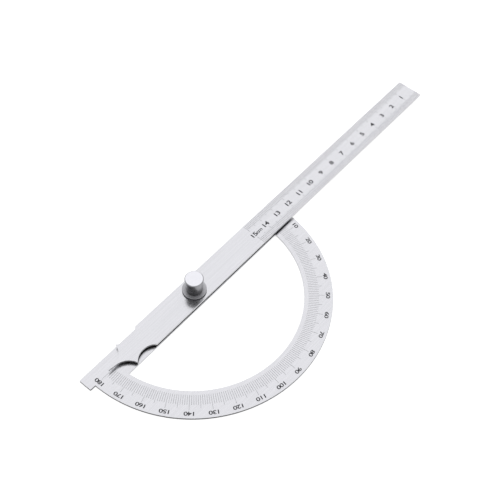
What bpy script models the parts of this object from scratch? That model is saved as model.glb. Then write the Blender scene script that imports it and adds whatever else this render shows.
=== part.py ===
"""Rotary protractor: a half-ring dial, a swinging ruler arm and a thumb nut that clamps them together.

Frame: the origin is on the pivot axis, in the plane of the dial's underside. +Z points up out of the dial,
+Y points from the pivot to the middle of the graduated arc, and +X points to the arc's 180 degree end,
where the arm's pointer rests. The ruler end of the arm then lies towards -X.
All driving sizes are in millimetres; every mesh is built in metres.
"""

import math

import bmesh
import bpy

MM = 0.001
GAP = 0.3  # clearance left between pieces that touch on the real object

# Dial: a half ring joined by a straight base bar, stamped from one sheet.
DIAL_THICKNESS = 1.2
DIAL_OUTER_RADIUS = 75.0
DIAL_INNER_RADIUS = 59.5
BAR_HALF_WIDTH = 8.0
TAB_REACH = 78.5  # the lower half of the bar runs past the arc to here, at both ends
TAB_CORNER_RADIUS = 0.5
WINDOW_CORNER_RADIUS = 0.8
COUNTERBORE_DEPTH = 0.8

# Arm: a 15 cm ruler that becomes a pointer on the far side of the pivot.
ARM_THICKNESS = 1.2
ARM_HALF_WIDTH = 8.0
RULER_LENGTH = 150.0
RULER_END = 49.4  # distance from the pivot to the 15 cm line
ARM_CORNER_RADIUS = 0.5
POINTER_START = 37.5  # where the two edges stop being straight
POINTER_CUSP = 52.0
POINTER_TIP = 65.1
NEEDLE_START = 61.7
NEEDLE_HALF_WIDTH = 0.5
TIP_HALF_WIDTH = 0.12
REAR_SCALLOP_DEPTH = 3.3

# Clamp: stud, washers and nut, all turned about the pivot axis.
STUD_HEAD_RADIUS = 3.7
STUD_HEAD_THICKNESS = 0.5
SHANK_RADIUS = 2.5
THREAD_RADIUS = 2.0  # M4
THREAD_PITCH = 0.7
SPACER_RADIUS = 6.0
SPACER_THICKNESS = 0.8
WASHER_RADIUS = 6.65
WASHER_THICKNESS = 0.8
WAVE_INNER_RADIUS = 2.35
WAVE_OUTER_RADIUS = 3.6
WAVE_SHEET = 0.2
WAVE_RISE = 0.15  # height of each wave above and below the middle
WAVE_COUNT = 3
NUT_RADIUS = 5.15
NUT_FOOT_RADIUS = 4.6  # the side draws in towards the foot
NUT_HEIGHT = 9.7
NUT_TOP_CHAMFER = 0.4
NUT_BOTTOM_CHAMFER = 0.2
NUT_CROWN_THICKNESS = 2.0  # solid metal above the blind thread

# Heights up the pivot axis follow from the thicknesses and the gaps.
PIVOT_HOLE_RADIUS = SHANK_RADIUS + GAP
SPACER_BOTTOM = DIAL_THICKNESS + GAP
ARM_BOTTOM = SPACER_BOTTOM + SPACER_THICKNESS + GAP
ARM_TOP = ARM_BOTTOM + ARM_THICKNESS
WASHER_BOTTOM = ARM_TOP + GAP
WASHER_TOP = WASHER_BOTTOM + WASHER_THICKNESS
NUT_BOTTOM = WASHER_TOP + GAP
NUT_TOP = NUT_BOTTOM + NUT_HEIGHT
WAVE_HEIGHT = WAVE_SHEET + 2 * WAVE_RISE
RECESS_CEILING = NUT_BOTTOM + WAVE_HEIGHT + GAP
BORE_TOP = NUT_TOP - NUT_CROWN_THICKNESS
SHANK_TOP = WASHER_BOTTOM + WASHER_THICKNESS / 2
STUD_TOP = BORE_TOP - 2 * THREAD_PITCH

ARC_STEPS = 120  # around the half ring's outer edge
ROUND_STEPS = 64  # around a full turn of a clamp piece
SCALLOP_STEPS = 12
CORNER_STEPS = 4
SMOOTH_ANGLE = 30  # degrees: a sharper edge than this stays sharp
CUT_PAST = 1.0  # how far a through cutter runs past the sheet

SATIN_STEEL = ((0.56, 0.56, 0.57, 1.0), 0.22)
POLISHED_STEEL = ((0.64, 0.64, 0.66, 1.0), 0.21)
TURNED_STEEL = ((0.50, 0.50, 0.51, 1.0), 0.30)
DULL_STEEL = ((0.39, 0.39, 0.40, 1.0), 0.50)
SPRING_STEEL = ((0.30, 0.30, 0.32, 1.0), 0.35)


def clear_scene():
    for obj in list(bpy.data.objects):
        bpy.data.objects.remove(obj, do_unlink=True)


def metal(name, look):
    """A metal Principled material from its colour and roughness."""
    colour, roughness = look
    material = bpy.data.materials.new(name)
    material.use_nodes = True
    shader = material.node_tree.nodes["Principled BSDF"]
    shader.inputs["Base Color"].default_value = colour
    shader.inputs["Roughness"].default_value = roughness
    shader.inputs["Metallic"].default_value = 1.0
    return material


def arc(cx, cy, radius, start, end, steps):
    """Points along an arc, from the start angle to the end angle in degrees, both ends included."""
    points = []
    for i in range(steps + 1):
        angle = math.radians(start + (end - start) * i / steps)
        points.append((cx + radius * math.cos(angle), cy + radius * math.sin(angle)))
    return points


def add_object(name, bm):
    """Turns a bmesh in millimetres into a named object in metres, with its faces pointing out."""
    bmesh.ops.recalc_face_normals(bm, faces=bm.faces)
    bmesh.ops.scale(bm, vec=(MM, MM, MM), verts=bm.verts)
    mesh = bpy.data.meshes.new(name)
    bm.to_mesh(mesh)
    bm.free()
    obj = bpy.data.objects.new(name, mesh)
    bpy.context.scene.collection.objects.link(obj)
    return obj


def plate(name, outline, bottom, top):
    """A flat sheet with the given outline between two heights."""
    bm = bmesh.new()
    face = bm.faces.new([bm.verts.new((x, y, bottom)) for x, y in outline])
    raised = bmesh.ops.extrude_face_region(bm, geom=[face])
    moved = [item for item in raised["geom"] if isinstance(item, bmesh.types.BMVert)]
    bmesh.ops.translate(bm, verts=moved, vec=(0, 0, top - bottom))
    return add_object(name, bm)


def turned(name, profile, closed):
    """A solid turned about the pivot axis. The profile is a list of (radius, height) points.

    A closed profile makes a ring. An open one starts and ends on the axis.
    """
    bm = bmesh.new()
    rings = []
    for radius, height in profile:
        if radius == 0:
            rings.append([bm.verts.new((0, 0, height))])
        else:
            around = arc(0, 0, radius, 0, 360, ROUND_STEPS)[:-1]
            rings.append([bm.verts.new((x, y, height)) for x, y in around])
    pairs = list(zip(rings, rings[1:]))
    if closed:
        pairs.append((rings[-1], rings[0]))
    for low, high in pairs:
        for i in range(ROUND_STEPS):
            j = (i + 1) % ROUND_STEPS
            corners = [low[i % len(low)], low[j % len(low)], high[j % len(high)], high[i % len(high)]]
            bm.faces.new(list(dict.fromkeys(corners)))
    return add_object(name, bm)


def smooth(obj):
    """Round sides are shaded smooth, and real edges stay sharp."""
    obj.data.shade_smooth()
    obj.data.set_sharp_from_angle(angle=math.radians(SMOOTH_ANGLE))
    return obj


def cut(obj, cutters):
    """Takes each cutter's shape out of the object."""
    for cutter in cutters:
        cutter.hide_render = True
        cutter.display_type = "WIRE"
        modifier = obj.modifiers.new(cutter.name, "BOOLEAN")
        modifier.operation = "DIFFERENCE"
        modifier.solver = "EXACT"
        modifier.object = cutter


def dial_outline():
    """The dial's outside edge, anticlockwise from the lower corner on the -X side."""
    r = TAB_CORNER_RADIUS
    low = -BAR_HALF_WIDTH + r
    reach = TAB_REACH - r
    outline = arc(-reach, low, r, 180, 270, CORNER_STEPS)
    outline += arc(reach, low, r, 270, 360, CORNER_STEPS)
    outline += arc(reach, -r, r, 0, 90, CORNER_STEPS)
    outline += arc(0, 0, DIAL_OUTER_RADIUS, 0, 180, ARC_STEPS)
    outline += arc(-reach, -r, r, 90, 180, CORNER_STEPS)
    return outline


def window_outline():
    """The D-shaped window between the base bar and the half ring, with small corner rounds."""
    r = WINDOW_CORNER_RADIUS
    centre_y = BAR_HALF_WIDTH + r
    centre_x = math.sqrt((DIAL_INNER_RADIUS - r) ** 2 - centre_y**2)
    touch = math.degrees(math.atan2(centre_y, centre_x))
    outline = arc(centre_x, centre_y, r, -90, touch, CORNER_STEPS)
    outline += arc(0, 0, DIAL_INNER_RADIUS, touch, 180 - touch, ARC_STEPS)[1:-1]
    outline += arc(-centre_x, centre_y, r, 180 - touch, 270, CORNER_STEPS)
    return outline


def hole_cutter(name, radius, bottom, top):
    return turned(name, [(0, bottom), (radius, bottom), (radius, top), (0, top)], closed=False)


def make_dial():
    dial = plate("dial_plate", dial_outline(), 0, DIAL_THICKNESS)
    below = -CUT_PAST
    above = DIAL_THICKNESS + CUT_PAST
    window = plate("cut_window", window_outline(), below, above)
    pivot = hole_cutter("cut_dial_pivot", PIVOT_HOLE_RADIUS, below, above)
    head_seat = hole_cutter("cut_head_seat", STUD_HEAD_RADIUS + GAP, below, COUNTERBORE_DEPTH)
    cut(dial, [window, pivot, head_seat])
    return dial


def scallop(start, end, depth, edge):
    """A round bite between two stations on the arm's lower edge, from start to end along +X.

    depth is measured at the arc's middle, and edge is the height of the chord that it hangs from.
    """
    half = (end - start) / 2
    radius = (half**2 + depth**2) / (2 * depth)
    centre_y = edge + depth - radius
    reach = math.degrees(math.asin(half / radius))
    return arc(start + half, centre_y, radius, 90 + reach, 90 - reach, SCALLOP_STEPS)


def pointer_edge():
    """The pointer's lower edge: a small round bite, a cusp, half of a larger bite and the needle."""
    edge = scallop(POINTER_START, POINTER_CUSP, REAR_SCALLOP_DEPTH, -ARM_HALF_WIDTH)
    mirrored_end = 2 * NEEDLE_START - POINTER_CUSP
    depth = ARM_HALF_WIDTH - NEEDLE_HALF_WIDTH
    front = scallop(POINTER_CUSP, mirrored_end, depth, -ARM_HALF_WIDTH)
    edge += front[1:SCALLOP_STEPS // 2 + 1]
    edge.append((POINTER_TIP, -TIP_HALF_WIDTH))
    return edge


def arm_outline():
    """The arm's edge, anticlockwise from the ruler end. Its two long edges mirror each other."""
    r = ARM_CORNER_RADIUS
    end = -(RULER_END + RULER_LENGTH)
    lower = arc(end + r, -ARM_HALF_WIDTH + r, r, 180, 270, CORNER_STEPS)
    lower += pointer_edge()
    upper = [(x, -y) for x, y in reversed(lower)]
    return lower + upper


def make_arm():
    arm = plate("ruler_arm", arm_outline(), ARM_BOTTOM, ARM_TOP)
    cut(arm, [hole_cutter("cut_arm_pivot", PIVOT_HOLE_RADIUS, ARM_BOTTOM - CUT_PAST, ARM_TOP + CUT_PAST)])
    return arm


def make_stud():
    """Pressed into the dial from below: a flush back head, a plain shank and a threaded end."""
    chamfer = THREAD_PITCH / 2
    profile = [
        (0, 0),
        (STUD_HEAD_RADIUS, 0),
        (STUD_HEAD_RADIUS, STUD_HEAD_THICKNESS),
        (SHANK_RADIUS, STUD_HEAD_THICKNESS),
        (SHANK_RADIUS, SHANK_TOP),
        (THREAD_RADIUS, SHANK_TOP),
        (THREAD_RADIUS, STUD_TOP - chamfer),
        (THREAD_RADIUS - chamfer, STUD_TOP),
        (0, STUD_TOP),
    ]
    return smooth(turned("pivot_stud", profile, closed=False))


def flat_ring(name, inner, outer, bottom, top):
    profile = [(inner, bottom), (outer, bottom), (outer, top), (inner, top)]
    return smooth(turned(name, profile, closed=True))


def make_wave_washer():
    """A thin ring of spring sheet, bent into waves that go round it."""
    bm = bmesh.new()
    middle = NUT_BOTTOM + WAVE_HEIGHT / 2
    sections = []
    for i in range(ROUND_STEPS):
        angle = 2 * math.pi * i / ROUND_STEPS
        height = middle + WAVE_RISE * math.sin(WAVE_COUNT * angle)
        corners = []
        for radius, side in ((WAVE_INNER_RADIUS, -1), (WAVE_OUTER_RADIUS, -1),
                             (WAVE_OUTER_RADIUS, 1), (WAVE_INNER_RADIUS, 1)):
            z = height + side * WAVE_SHEET / 2
            corners.append(bm.verts.new((radius * math.cos(angle), radius * math.sin(angle), z)))
        sections.append(corners)
    for i in range(ROUND_STEPS):
        here = sections[i]
        following = sections[(i + 1) % ROUND_STEPS]
        for a in range(4):
            b = (a + 1) % 4
            bm.faces.new([here[a], here[b], following[b], following[a]])
    return smooth(add_object("wave_washer", bm))


def make_nut():
    """A tall round nut, closed at the top, with a recess under it that holds the wave washer."""
    bore = THREAD_RADIUS + GAP
    recess = WAVE_OUTER_RADIUS + GAP
    profile = [
        (0, NUT_TOP),
        (NUT_RADIUS - NUT_TOP_CHAMFER, NUT_TOP),
        (NUT_RADIUS, NUT_TOP - NUT_TOP_CHAMFER),
        (NUT_FOOT_RADIUS, NUT_BOTTOM + NUT_BOTTOM_CHAMFER),
        (NUT_FOOT_RADIUS - NUT_BOTTOM_CHAMFER, NUT_BOTTOM),
        (recess, NUT_BOTTOM),
        (recess, RECESS_CEILING),
        (bore, RECESS_CEILING),
        (bore, BORE_TOP),
        (0, BORE_TOP),
    ]
    return smooth(turned("thumb_nut", profile, closed=False))


def make_protractor():
    clear_scene()
    spacer_top = SPACER_BOTTOM + SPACER_THICKNESS
    spacer = flat_ring("spacer_washer", PIVOT_HOLE_RADIUS, SPACER_RADIUS, SPACER_BOTTOM, spacer_top)
    washer = flat_ring("flat_washer", PIVOT_HOLE_RADIUS, WASHER_RADIUS, WASHER_BOTTOM, WASHER_TOP)
    pieces = [
        (make_dial(), SATIN_STEEL),
        (make_arm(), SATIN_STEEL),
        (make_stud(), TURNED_STEEL),
        (spacer, DULL_STEEL),
        (washer, DULL_STEEL),
        (make_wave_washer(), SPRING_STEEL),
        (make_nut(), POLISHED_STEEL),
    ]
    for obj, look in pieces:
        obj.data.materials.append(metal(obj.name + "_steel", look))


make_protractor()
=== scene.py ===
"""The looks of a rotary protractor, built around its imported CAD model.

The frame is the model's own: metres, origin on the pivot axis in the dial's underside, +Z up, +X to the
180 degree end of the arc and +Y to its middle. Sizes named here are in millimetres, and MM turns them to
metres; only the camera's place and target are in metres.
The two stamped sheets are the CAD nodes with softened edges. The turned pieces are rebuilt finer than the
CAD ones, and the marks and numbers are thin fillings that stand on the sheets.
"""
import math

import bmesh
import bpy
from mathutils import Matrix, Vector


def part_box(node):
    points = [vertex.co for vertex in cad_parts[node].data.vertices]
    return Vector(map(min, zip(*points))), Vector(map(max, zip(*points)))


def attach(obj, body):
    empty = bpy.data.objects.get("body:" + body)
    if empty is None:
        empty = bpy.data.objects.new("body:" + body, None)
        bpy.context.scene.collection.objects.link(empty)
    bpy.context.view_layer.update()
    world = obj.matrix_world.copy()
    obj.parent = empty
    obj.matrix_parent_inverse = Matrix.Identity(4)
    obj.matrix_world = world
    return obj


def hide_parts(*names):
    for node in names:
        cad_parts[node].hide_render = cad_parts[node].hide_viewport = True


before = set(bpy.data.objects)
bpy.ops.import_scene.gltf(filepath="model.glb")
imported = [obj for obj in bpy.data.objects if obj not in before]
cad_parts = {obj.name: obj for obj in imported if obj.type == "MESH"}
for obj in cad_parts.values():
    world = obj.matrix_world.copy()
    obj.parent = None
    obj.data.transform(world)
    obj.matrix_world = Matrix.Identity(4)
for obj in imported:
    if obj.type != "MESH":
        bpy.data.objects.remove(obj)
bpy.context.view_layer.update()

MM = 0.001


def low(node):
    """The node's lowest corner at rest, in millimetres."""
    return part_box(node)[0] / MM


def high(node):
    """The node's highest corner at rest, in millimetres."""
    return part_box(node)[1] / MM


# Heights and places that the CAD nodes give.
DIAL_TOP = high("dial_plate").z
ARM_TOP = high("ruler_arm").z
ARM_HALF_WIDTH = high("ruler_arm").y
RULER_ZERO = low("ruler_arm").x

# Dial marks, as radii from the pivot.
MARKS_INNER = 61.8
DEGREE_OUTER = 67.4
FIVE_OUTER = 69.2
TEN_OUTER = 70.4
NUMBER_RADIUS = 72.3
NUMBER_HEIGHT = 2.3
NUMBER_STRETCH = 1.45  # how much wider the digits are than the plain face's

# Ruler marks, as distances in from each long edge.
MILLIMETRE_MARK = 3.9
HALF_MARK = 4.6
CENTIMETRE_MARK = 5.2
RULER_CENTIMETRES = 15
RULER_NUMBER_HEIGHT = 2.8
RULER_NUMBER_STRETCH = 1.35
RULER_NUMBER_SHIFT = 0.4  # the row of numbers lies this far to the +Y side of the ruler's middle
UNIT_HEIGHT = 1.5
UNIT_BACK = 3.9  # the unit's middle stands this far before the last centimetre line
UNIT_SHIFT = 0.8  # and this far to the +Y side of the ruler's middle

DEGREE_LINE = 0.12
MILLIMETRE_LINE = 0.14
LINE_INSET = 0.15  # marks stop this far short of an edge
INK_THICKNESS = 0.01
INK_SPACING = 0.88  # space between letters, as a share of the plain face's
INK_WEIGHT = 0.022  # how far the lettering is thickened, as a share of its size

# The clamp, beside the sizes that its CAD nodes give.
PIVOT_HOLE = 2.8  # radius of the hole in both flat washers
SHANK_RADIUS = 2.5
SHANK_TOP = 4.5
THREAD_CREST = 2.0
THREAD_PITCH = 0.7
THREAD_DEPTH = 0.38
THREAD_RUN_IN = 0.1  # plain length between a shoulder and the thread
THREAD_STEPS = 8  # rings in one pitch
HEAD_RADIUS = 3.7
HEAD_THICKNESS = 0.5
HEAD_ROUND = 0.08
SHANK_ROUND = 0.1
NUT_BORE = 2.3
NUT_THREAD_RISE = 0.2  # how far the nut's thread stands in from its bore
NUT_RECESS = 3.9
NUT_RECESS_DEPTH = 0.8
NUT_CROWN = 2.0
NUT_CHAMFER = 0.4
NUT_FOOT_RADIUS = 4.6  # the nut's side draws in towards its foot
NUT_FOOT_CHAMFER = 0.2
NUT_ROUND = 0.05
NUT_RECESS_ROUND = 0.1
SPACER_ROUND = 0.08
WASHER_ROUND = 0.22

TURNED_STEPS = 144  # around a turned piece
ROUND_STEPS = 5  # across a rounded corner
HOLD = 0.03  # flat land kept beside a rounded corner, so that flats are shaded flat
SHEET_ROUND = 0.1  # edge rounding on the stamped sheets
SHEET_ROUND_STEPS = 3
SHEET_WELD = 0.01  # corners closer than this are one corner
FLAT_ANGLE = 0.3  # degrees between facets that are merged into one flat
CORNER_ANGLE = 40  # degrees between faces from which their edge is rounded
SMOOTH_ANGLE = 30  # degrees between faces up to which they are shaded as one
FOOT_SHADE_TOP = 10.0  # where the painted shade at the nut's foot ends
FOOT_SHADE_FADE = 3.5  # height over which it fades out
FOOT_SHADE_LEVEL = 0.5  # brightness of the side under the painted shade
OUTLINE_RADIUS = 67.0  # walls farther from the pivot than this are on the dial's outline, which is painted dark as shade
OUTLINE_BASE = -7.5  # and so are walls at a lower Y than this

# The view, its places in metres, and the light around it.
CAMERA_PLACE = (0.2247, 0.2161, 0.4858)
CAMERA_TARGET = (-0.0419, 0.0037, 0.0)
CAMERA_ROLL = 2.45
CAMERA_LENS = 76.55
SENSOR = 36.0
DIM_AZIMUTH = 20.0  # degrees from +X to the middle of the dim band
DIM_LIGHT = 0.12
SIDE_LIGHT = 1.0
HIGH_LIGHT = 1.37
HIGH_BLUE = 1.03  # the light from above is a little blue
FLOOR_SIZE = 6000.0
FLOOR_DROP = 0.05  # the floor lies this far under the dial
FLOOR_COLOUR = 0.45
FLOOR_GLOW = 0.75


# ---------------------------------------------------------------- node helpers


class Nodes:
    """A short way to add and link nodes in one node tree."""

    def __init__(self, tree):
        self.tree = tree

    def add(self, kind, **settings):
        node = self.tree.nodes.new(kind)
        for name, value in settings.items():
            setattr(node, name, value)
        return node

    def put(self, socket, value):
        """Links the socket from another socket, or sets its value."""
        if isinstance(value, bpy.types.NodeSocket):
            self.tree.links.new(value, socket)
        else:
            socket.default_value = value

    def math(self, operation, a, b=0.0):
        node = self.add("ShaderNodeMath", operation=operation)
        self.put(node.inputs[0], a)
        self.put(node.inputs[1], b)
        return node.outputs[0]

    def split(self, vector):
        node = self.add("ShaderNodeSeparateXYZ")
        self.put(node.inputs[0], vector)
        return node.outputs

    def radius(self, place):
        """The distance from the pivot axis."""
        x, y, _ = self.split(place)
        squares = self.math("ADD", self.math("MULTIPLY", x, x), self.math("MULTIPLY", y, y))
        return self.math("SQRT", squares)

    def scaled(self, vector, scale):
        node = self.add("ShaderNodeMapping")
        self.put(node.inputs["Vector"], vector)
        self.put(node.inputs["Scale"], scale)
        return node.outputs[0]

    def noise(self, vector, scale, detail=2.0):
        node = self.add("ShaderNodeTexNoise")
        self.put(node.inputs["Vector"], vector)
        self.put(node.inputs["Scale"], scale)
        self.put(node.inputs["Detail"], detail)
        return node.outputs["Fac"]

    def remap(self, value, low_in, high_in, low_out, high_out, smooth=False):
        node = self.add("ShaderNodeMapRange")
        node.interpolation_type = "SMOOTHSTEP" if smooth else "LINEAR"
        for socket, number in zip(node.inputs, (value, low_in, high_in, low_out, high_out)):
            self.put(socket, number)
        return node.outputs[0]

    def blend(self, factor, a, b):
        node = self.add("ShaderNodeMix", data_type="RGBA")
        colours = [socket for socket in node.inputs if socket.type == "RGBA"]
        self.put(node.inputs["Factor"], factor)
        self.put(colours[0], a)
        self.put(colours[1], b)
        return next(socket for socket in node.outputs if socket.type == "RGBA")

    def bump(self, height, distance, strength=1.0):
        node = self.add("ShaderNodeBump")
        self.put(node.inputs["Height"], height)
        self.put(node.inputs["Distance"], distance)
        self.put(node.inputs["Strength"], strength)
        return node.outputs["Normal"]


def new_material(name, metallic):
    """A new Principled material: itself, its node helper, its shader and its texture coordinates."""
    material = bpy.data.materials.new(name)
    material.use_nodes = True
    shader = material.node_tree.nodes["Principled BSDF"]
    shader.inputs["Metallic"].default_value = metallic
    nodes = Nodes(material.node_tree)
    place = nodes.add("ShaderNodeTexCoord")
    return material, nodes, shader, place.outputs


def shade(colour, factor):
    return tuple(min(1.0, c * factor) for c in colour) + (1.0,)


# ------------------------------------------------------------------- materials


def satin_sheet(name, tint, edge_tint, outline_shade_tint):
    """Satin stainless sheet, its grain along X, with walls sheared by the press.

    Walls on the dial's outline take the outline tint, a painted shade standing for the floor's shadow
    mirrored in them, and the others edge_tint.
    """
    material, n, shader, place = new_material(name, 1.0)
    at = place["Object"]
    faces_up = n.math("ABSOLUTE", n.split(place["Normal"])[2])
    top = n.remap(faces_up, 0.75, 0.97, 0.0, 1.0, smooth=True)

    # Brushed faces: fine hairs and wider streaks along X, over cloudy patches.
    hair = n.noise(n.scaled(at, (90.0, 14000.0, 14000.0)), 1.0, 3.0)
    streak = n.noise(n.scaled(at, (25.0, 1600.0, 1600.0)), 1.0, 4.0)
    patch = n.noise(at, 55.0, 3.0)
    strong_hair = n.remap(hair, 0.3, 0.7, 0.0, 1.0)
    strong_streak = n.remap(streak, 0.3, 0.7, 0.0, 1.0)
    grain = n.math("MULTIPLY", n.math("ADD", strong_hair, strong_streak), 0.5)
    face = n.blend(grain, shade(tint, 0.93), shade(tint, 1.07))

    # Walls: upright tears of the press.
    tear = n.noise(n.scaled(at, (3000.0, 3000.0, 500.0)), 1.0, 2.0)
    inner_wall = n.blend(tear, shade(edge_tint, 0.85), shade(edge_tint, 1.15))
    # painted shade: the outline walls take a much darker tint, standing for the shadow on the floor that
    # they mirror
    shaded_outline_wall = n.blend(tear, shade(outline_shade_tint, 0.75), shade(outline_shade_tint, 1.25))
    on_arc = n.math("GREATER_THAN", n.radius(at), OUTLINE_RADIUS * MM)
    on_base = n.math("LESS_THAN", n.split(at)[1], OUTLINE_BASE * MM)
    wall = n.blend(n.math("MAXIMUM", on_arc, on_base), inner_wall, shaded_outline_wall)

    n.put(shader.inputs["Base Color"], n.blend(top, wall, face))
    rough = n.math("ADD", n.remap(hair, 0.3, 0.7, 0.17, 0.24), n.remap(patch, 0.3, 0.7, -0.02, 0.03))
    wall_rough = n.math("MULTIPLY", n.math("SUBTRACT", 1.0, top), n.remap(tear, 0.3, 0.7, 0.05, 0.2))
    n.put(shader.inputs["Roughness"], n.math("ADD", rough, wall_rough))
    n.put(shader.inputs["Normal"], n.bump(hair, 0.002 * MM))
    return material


def turned_metal(name, side, end, roughness, groove, shade_top=0.0):
    """Metal turned on a lathe, with fine rings around the pivot axis that are groove millimetres deep.

    side and end are the colours of its round side and of its faces. A painted shade darkens the
    side below the height given last, standing for the shadow at the nut's foot.
    """
    material, n, shader, place = new_material(name, 1.0)
    at = place["Object"]
    across = n.add("ShaderNodeCombineXYZ")
    n.put(across.inputs[0], n.radius(at))
    n.put(across.inputs[1], n.split(at)[2])
    rings = n.noise(across.outputs[0], 7000.0, 3.0)
    patch = n.noise(at, 260.0, 3.0)
    faces_up = n.math("ABSOLUTE", n.split(place["Normal"])[2])
    top = n.remap(faces_up, 0.7, 0.95, 0.0, 1.0, smooth=True)
    unshaded_side = n.blend(rings, shade(side, 0.88), shade(side, 1.12))
    # painted shade: the round side darkens towards the foot, standing for the shadow where the nut meets the
    # washer
    shade_end = shade_top - FOOT_SHADE_FADE
    unshaded = n.remap(n.split(at)[2], shade_end * MM, shade_top * MM, 0.0, 1.0, smooth=True)
    round_side = n.blend(unshaded, shade(side, FOOT_SHADE_LEVEL), unshaded_side)
    flat_end = n.blend(rings, shade(end, 0.95), shade(end, 1.05))
    n.put(shader.inputs["Base Color"], n.blend(top, round_side, flat_end))
    rough = n.remap(rings, 0.3, 0.7, roughness * 0.8, roughness * 1.2)
    n.put(shader.inputs["Roughness"], n.math("ADD", rough, n.remap(patch, 0.35, 0.7, 0.0, 0.05)))
    n.put(shader.inputs["Normal"], n.bump(rings, groove * MM))
    return material


def mark_ink():
    """Black filling of the etched marks, a little worn and uneven."""
    material, n, shader, place = new_material("black_etching", 0.0)
    wear = n.noise(place["Object"], 900.0, 3.0)
    n.put(shader.inputs["Base Color"], n.blend(wear, (0.008, 0.008, 0.009, 1.0), (0.035, 0.035, 0.04, 1.0)))
    n.put(shader.inputs["Roughness"], n.remap(wear, 0.3, 0.7, 0.45, 0.65))
    n.put(shader.inputs["Normal"], n.bump(wear, 0.002 * MM))
    return material


# ---------------------------------------------------------------- mesh helpers


def add_piece(name, bm, material, body):
    """Turns a bmesh in millimetres into a piece in metres that rides on a body."""
    bmesh.ops.recalc_face_normals(bm, faces=bm.faces)
    bmesh.ops.scale(bm, vec=(MM, MM, MM), verts=bm.verts)
    mesh = bpy.data.meshes.new(name)
    bm.to_mesh(mesh)
    bm.free()
    mesh.materials.append(material)
    obj = bpy.data.objects.new(name, mesh)
    bpy.context.scene.collection.objects.link(obj)
    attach(obj, body)
    return obj


def rounded(profile, closed):
    """A profile of (radius, height, rounding) points with each corner rounded off."""
    points = [Vector(point[:2]) for point in profile]
    line = []
    for i, corner in enumerate(points):
        size = profile[i][2]
        at_end = not closed and i in (0, len(points) - 1)
        if size == 0 or at_end:
            line.append(corner)
            continue
        back = (points[i - 1] - corner).normalized()
        ahead = (points[(i + 1) % len(points)] - corner).normalized()
        line.append(corner + back * (size + HOLD))
        for step in range(ROUND_STEPS + 1):
            t = step / ROUND_STEPS
            line.append(corner + back * size * (1 - t) ** 2 + ahead * size * t**2)
        line.append(corner + ahead * (size + HOLD))
    return line


def plain_ring(point):
    """A ring of a turned piece: its radius at any angle, and its height."""
    return (lambda angle: point.x), point.y


def thread_rings(crest, root, start, end):
    """Rings whose radius follows a helix, from one height to the other, fading out at both."""
    rings = []
    count = int(abs(end - start) / THREAD_PITCH * THREAD_STEPS)
    for i in range(count + 1):
        height = start + (end - start) * i / count
        fade = min(1.0, abs(height - start) / THREAD_PITCH, abs(height - end) / THREAD_PITCH)

        def radius(angle, height=height, fade=fade):
            phase = (height / THREAD_PITCH - angle / (2 * math.pi)) % 1.0
            wave = abs(2 * phase - 1)
            return crest + (root - crest) * fade * wave

        rings.append((radius, height))
    return rings


def skin(rings, closed):
    """A bmesh skin over rings of (radius at an angle, height). A radius of nought makes a single point."""
    bm = bmesh.new()
    loops = []
    for radius, height in rings:
        if radius(0) < 1e-6:
            loops.append([bm.verts.new((0, 0, height))])
            continue
        loop = []
        for i in range(TURNED_STEPS):
            angle = 2 * math.pi * i / TURNED_STEPS
            r = radius(angle)
            loop.append(bm.verts.new((r * math.cos(angle), r * math.sin(angle), height)))
        loops.append(loop)
    pairs = list(zip(loops, loops[1:]))
    if closed:
        pairs.append((loops[-1], loops[0]))
    for a, b in pairs:
        for i in range(TURNED_STEPS):
            j = (i + 1) % TURNED_STEPS
            corners = [a[i % len(a)], a[j % len(a)], b[j % len(b)], b[i % len(b)]]
            face = bm.faces.new(list(dict.fromkeys(corners)))
            face.smooth = True
    return bm


# ---------------------------------------------------------------- turned pieces


def make_ring(name, node, rounding, material, body):
    """A flat washer in place of its CAD node, its edges rounded by the press."""
    outer = high(node).x
    bottom = low(node).z
    top = high(node).z
    profile = [
        (PIVOT_HOLE, bottom, rounding / 2),
        (outer, bottom, rounding / 2),
        (outer, top, rounding),
        (PIVOT_HOLE, top, rounding),
    ]
    rings = [plain_ring(point) for point in rounded(profile, closed=True)]
    piece = add_piece(name, skin(rings, closed=True), material, body)
    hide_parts(node)


def make_nut(material):
    """The tall round nut: chamfered top, fine foot, a recess for the spring and a blind thread."""
    radius = high("thumb_nut").x
    top = high("thumb_nut").z
    bottom = low("thumb_nut").z
    outside = [
        (0, top, 0),
        (radius - NUT_CHAMFER, top, NUT_ROUND),
        (radius, top - NUT_CHAMFER, NUT_ROUND),
        (NUT_FOOT_RADIUS, bottom + NUT_FOOT_CHAMFER, NUT_ROUND),
        (NUT_FOOT_RADIUS - NUT_FOOT_CHAMFER, bottom, NUT_ROUND),
        (NUT_RECESS, bottom, NUT_RECESS_ROUND),
        (NUT_RECESS, bottom + NUT_RECESS_DEPTH, NUT_RECESS_ROUND),
        (NUT_BORE, bottom + NUT_RECESS_DEPTH, 0),
    ]
    rings = [plain_ring(point) for point in rounded(outside, closed=False)]
    thread_start = bottom + NUT_RECESS_DEPTH + THREAD_RUN_IN
    thread_end = top - NUT_CROWN
    rings += thread_rings(NUT_BORE, NUT_BORE - NUT_THREAD_RISE, thread_start, thread_end)
    rings.append(plain_ring(Vector((0, thread_end))))
    piece = add_piece("nut", skin(rings, closed=False), material, "nut")
    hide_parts("thumb_nut")


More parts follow.
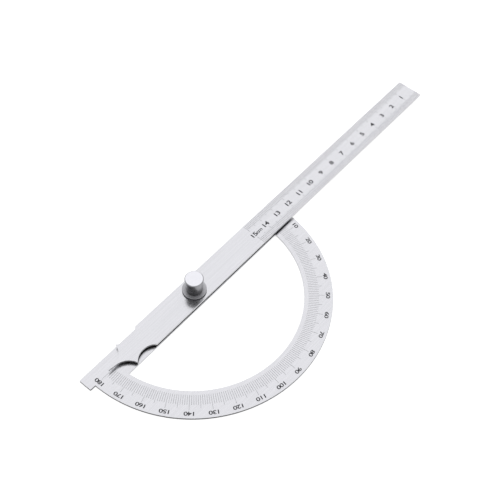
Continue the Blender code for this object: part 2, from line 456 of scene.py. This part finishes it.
def make_stud(material):
    """The stud: a flush head, a plain shank for the arm and a real helical thread."""
    top = high("pivot_stud").z
    chamfer = THREAD_PITCH / 2
    lower = [
        (0, 0, 0),
        (HEAD_RADIUS, 0, HEAD_ROUND),
        (HEAD_RADIUS, HEAD_THICKNESS, HEAD_ROUND),
        (SHANK_RADIUS, HEAD_THICKNESS, HEAD_ROUND),
        (SHANK_RADIUS, SHANK_TOP, SHANK_ROUND),
        (THREAD_CREST, SHANK_TOP, 0),
    ]
    rings = [plain_ring(point) for point in rounded(lower, closed=False)]
    thread_start = SHANK_TOP + THREAD_RUN_IN
    rings += thread_rings(THREAD_CREST, THREAD_CREST - THREAD_DEPTH, thread_start, top - chamfer)
    rings.append(plain_ring(Vector((THREAD_CREST - chamfer, top))))
    rings.append(plain_ring(Vector((0, top))))
    piece = add_piece("stud", skin(rings, closed=False), material, "dial")
    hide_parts("pivot_stud")


# -------------------------------------------------------------- marks, numbers


def add_bar(bm, start, end, width, bottom):
    """A thin straight slab between two points in plan."""
    along = (end - start).normalized()
    side = Vector((-along.y, along.x)) * width / 2
    plan = [start - side, end - side, end + side, start + side]
    lower = [bm.verts.new((p.x, p.y, bottom)) for p in plan]
    upper = [bm.verts.new((p.x, p.y, bottom + INK_THICKNESS)) for p in plan]
    bm.faces.new(lower)
    bm.faces.new(upper)
    for i in range(4):
        j = (i + 1) % 4
        bm.faces.new([lower[i], lower[j], upper[j], upper[i]])


def add_number(bm, text, height, stretch, place, turn, bottom):
    """A slab of lettering whose middle is at place, turned in plan, with digits of the given height."""
    curve = bpy.data.curves.new("lettering", "FONT")
    curve.body = text
    curve.align_x = "CENTER"
    curve.resolution_u = 4
    curve.extrude = 0.5
    curve.offset = INK_WEIGHT
    curve.space_character = INK_SPACING
    holder = bpy.data.objects.new("lettering", curve)
    bpy.context.scene.collection.objects.link(holder)
    mesh = bpy.data.meshes.new_from_object(holder.evaluated_get(bpy.context.evaluated_depsgraph_get()))
    left = min(v.co.x for v in mesh.vertices)
    right = max(v.co.x for v in mesh.vertices)
    base = min(v.co.y for v in mesh.vertices)
    rise = max(v.co.y for v in mesh.vertices) - base
    scale = height / rise
    middle = Matrix.Translation((-(left + right) / 2, -base - rise / 2, 0))
    size = Matrix.Diagonal((scale * stretch, scale, INK_THICKNESS, 1))
    spot = Matrix.Translation((place.x, place.y, bottom + INK_THICKNESS / 2)) @ Matrix.Rotation(turn, 4, "Z")
    mesh.transform(spot @ size @ middle)
    bm.from_mesh(mesh)
    bmesh.ops.remove_doubles(bm, verts=bm.verts, dist=INK_THICKNESS / 20)
    bpy.data.objects.remove(holder)
    bpy.data.meshes.remove(mesh)
    bpy.data.curves.remove(curve)


def make_dial_marks(ink):
    """A line for each degree, longer at every fifth and tenth."""
    bm = bmesh.new()
    for degree in range(181):
        outer = TEN_OUTER if degree % 10 == 0 else FIVE_OUTER if degree % 5 == 0 else DEGREE_OUTER
        angle = math.radians(180 - degree)
        ray = Vector((math.cos(angle), math.sin(angle)))
        add_bar(bm, ray * MARKS_INNER, ray * outer, DEGREE_LINE, DIAL_TOP)
    add_piece("degree_marks", bm, ink, "dial")


def make_dial_numbers(ink):
    """0 to 180 in tens, their tops towards the outer edge."""
    bm = bmesh.new()
    for degree in range(0, 181, 10):
        angle = math.radians(180 - degree)
        place = Vector((math.cos(angle), math.sin(angle))) * NUMBER_RADIUS
        add_number(bm, str(degree), NUMBER_HEIGHT, NUMBER_STRETCH, place, angle - math.pi / 2, DIAL_TOP)
    add_piece("degree_numbers", bm, ink, "dial")


def make_ruler_marks(ink):
    """A line for each millimetre along both long edges of the ruler."""
    bm = bmesh.new()
    for step in range(RULER_CENTIMETRES * 10 + 1):
        length = CENTIMETRE_MARK if step % 10 == 0 else HALF_MARK if step % 5 == 0 else MILLIMETRE_MARK
        x = RULER_ZERO + max(step, LINE_INSET)
        for side in (-1, 1):
            start = Vector((x, side * (ARM_HALF_WIDTH - LINE_INSET)))
            end = Vector((x, side * (ARM_HALF_WIDTH - length)))
            add_bar(bm, start, end, MILLIMETRE_LINE, ARM_TOP)
    add_piece("ruler_marks", bm, ink, "arm")


def make_ruler_numbers(ink):
    """1 to 15 on the centimetre lines, read with the 0 end to the right."""
    bm = bmesh.new()
    for number in range(1, RULER_CENTIMETRES + 1):
        place = Vector((RULER_ZERO + number * 10, RULER_NUMBER_SHIFT))
        add_number(bm, str(number), RULER_NUMBER_HEIGHT, RULER_NUMBER_STRETCH, place, math.pi, ARM_TOP)
    unit = Vector((RULER_ZERO + RULER_CENTIMETRES * 10 - UNIT_BACK, UNIT_SHIFT))
    add_number(bm, "cm", UNIT_HEIGHT, RULER_NUMBER_STRETCH, unit, math.pi, ARM_TOP)
    add_piece("ruler_numbers", bm, ink, "arm")


# ---------------------------------------------------------------- the CAD nodes


def dress(node, material):
    """Gives a CAD node its material and smooth shading."""
    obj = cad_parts[node]
    obj.data.materials.clear()
    obj.data.materials.append(material)
    obj.data.shade_smooth()
    obj.data.set_sharp_from_angle(angle=math.radians(SMOOTH_ANGLE))
    return obj


def soften(obj):
    """Rounds a sheet's edges by modifiers, and keeps its flats shaded flat.

    Facets that lie in one flat are merged first, because their seams would hold the rounding back.
    """
    obj.data.shade_smooth()
    weld = obj.modifiers.new("weld", "WELD")
    weld.merge_threshold = SHEET_WELD * MM
    flatten = obj.modifiers.new("flatten", "DECIMATE")
    flatten.decimate_type = "DISSOLVE"
    flatten.angle_limit = math.radians(FLAT_ANGLE)
    bevel = obj.modifiers.new("round", "BEVEL")
    bevel.width = SHEET_ROUND * MM
    bevel.segments = SHEET_ROUND_STEPS
    bevel.limit_method = "ANGLE"
    bevel.angle_limit = math.radians(CORNER_ANGLE)
    bevel.use_clamp_overlap = False
    bevel.loop_slide = False
    normals = obj.modifiers.new("normals", "WEIGHTED_NORMAL")
    normals.weight = 100  # the largest faces decide


# --------------------------------------------------------------- stage and view


def make_floor():
    bpy.ops.mesh.primitive_plane_add(size=FLOOR_SIZE * MM, location=(0, 0, -FLOOR_DROP * MM))
    floor = bpy.context.object
    floor.name = "floor"
    material = bpy.data.materials.new("pale_floor")
    material.use_nodes = True
    shader = material.node_tree.nodes["Principled BSDF"]
    shader.inputs["Base Color"].default_value = (FLOOR_COLOUR, FLOOR_COLOUR, FLOOR_COLOUR, 1.0)
    shader.inputs["Roughness"].default_value = 0.9
    shader.inputs["Emission Color"].default_value = (1.0, 1.0, 1.0, 1.0)
    shader.inputs["Emission Strength"].default_value = FLOOR_GLOW
    floor.data.materials.append(material)


def make_world():
    """Soft light from all round, brighter above, with a dim band high up on the camera's side.

    The band darkens one flank of the nut, while the sheets mirror the bright sky on the far side.
    """
    world = bpy.data.worlds.new("studio")
    bpy.context.scene.world = world
    world.use_nodes = True
    n = Nodes(world.node_tree)
    background = world.node_tree.nodes["Background"]
    x, y, z = n.split(n.add("ShaderNodeTexCoord").outputs["Generated"])
    towards = math.radians(DIM_AZIMUTH)
    along_x = n.math("MULTIPLY", x, math.cos(towards))
    along_y = n.math("MULTIPLY", y, math.sin(towards))
    near = n.remap(n.math("ADD", along_x, along_y), -0.05, 0.2, 0.0, 1.0, smooth=True)
    raised = n.remap(z, 0.62, 0.76, 0.0, 1.0, smooth=True)
    below_top = n.remap(z, 0.92, 0.98, 1.0, 0.0, smooth=True)
    dim = n.math("MULTIPLY", near, n.math("MULTIPLY", raised, below_top))
    glow = n.remap(z, 0.1, 0.6, 0.0, 1.0, smooth=True)
    low_sky = (SIDE_LIGHT, SIDE_LIGHT, SIDE_LIGHT, 1.0)
    high_sky = (HIGH_LIGHT, HIGH_LIGHT, HIGH_LIGHT * HIGH_BLUE, 1.0)
    sky = n.blend(glow, low_sky, high_sky)
    n.put(background.inputs["Color"], n.blend(dim, sky, (DIM_LIGHT, DIM_LIGHT, DIM_LIGHT, 1.0)))


def make_camera():
    data = bpy.data.cameras.new("camera")
    data.lens = CAMERA_LENS
    data.sensor_width = SENSOR
    data.clip_start = 0.01
    camera = bpy.data.objects.new("camera", data)
    bpy.context.scene.collection.objects.link(camera)
    place = Vector(CAMERA_PLACE)
    look = (Vector(CAMERA_TARGET) - place).to_track_quat("-Z", "Y").to_matrix().to_4x4()
    roll = Matrix.Rotation(math.radians(CAMERA_ROLL), 4, "Z")
    camera.matrix_world = Matrix.Translation(place) @ look @ roll
    bpy.context.scene.camera = camera


def main():
    bpy.context.scene.view_settings.view_transform = "Standard"
    make_camera()
    make_world()
    make_floor()

    steel = (0.56, 0.56, 0.57)
    edge = (0.5, 0.5, 0.51)
    # painted shade for the dial's outline walls, standing for the floor's shadow mirrored in them
    outline_shade = (0.08, 0.08, 0.08)
    soften(dress("dial_plate", satin_sheet("dial_satin_steel", steel, edge, outline_shade)))
    soften(dress("ruler_arm", satin_sheet("arm_satin_steel", steel, edge, edge)))
    spring = (0.3, 0.3, 0.32)
    dress("wave_washer", turned_metal("spring_dark_steel", spring, spring, 0.35, 0.01))

    # painted shade: the washers' round sides are tinted far darker than their faces, standing for the shadow
    # line under them
    washer = turned_metal("washer_dull_steel", (0.14, 0.14, 0.15), (0.39, 0.39, 0.4), 0.5, 0.008)
    make_ring("spacer", "spacer_washer", SPACER_ROUND, washer, "dial")
    make_ring("washer", "flat_washer", WASHER_ROUND, washer, "arm")
    make_stud(turned_metal("stud_turned_steel", edge, edge, 0.3, 0.01))
    # painted shade: the nut's round side is tinted far darker than its top face, to deepen its dark flank
    nut_shaded_side = (0.25, 0.25, 0.26)
    nut_top = (0.64, 0.64, 0.66)
    make_nut(turned_metal("nut_polished_steel", nut_shaded_side, nut_top, 0.21, 0.004, FOOT_SHADE_TOP))

    ink = mark_ink()
    make_dial_marks(ink)
    make_dial_numbers(ink)
    make_ruler_marks(ink)
    make_ruler_numbers(ink)


main()
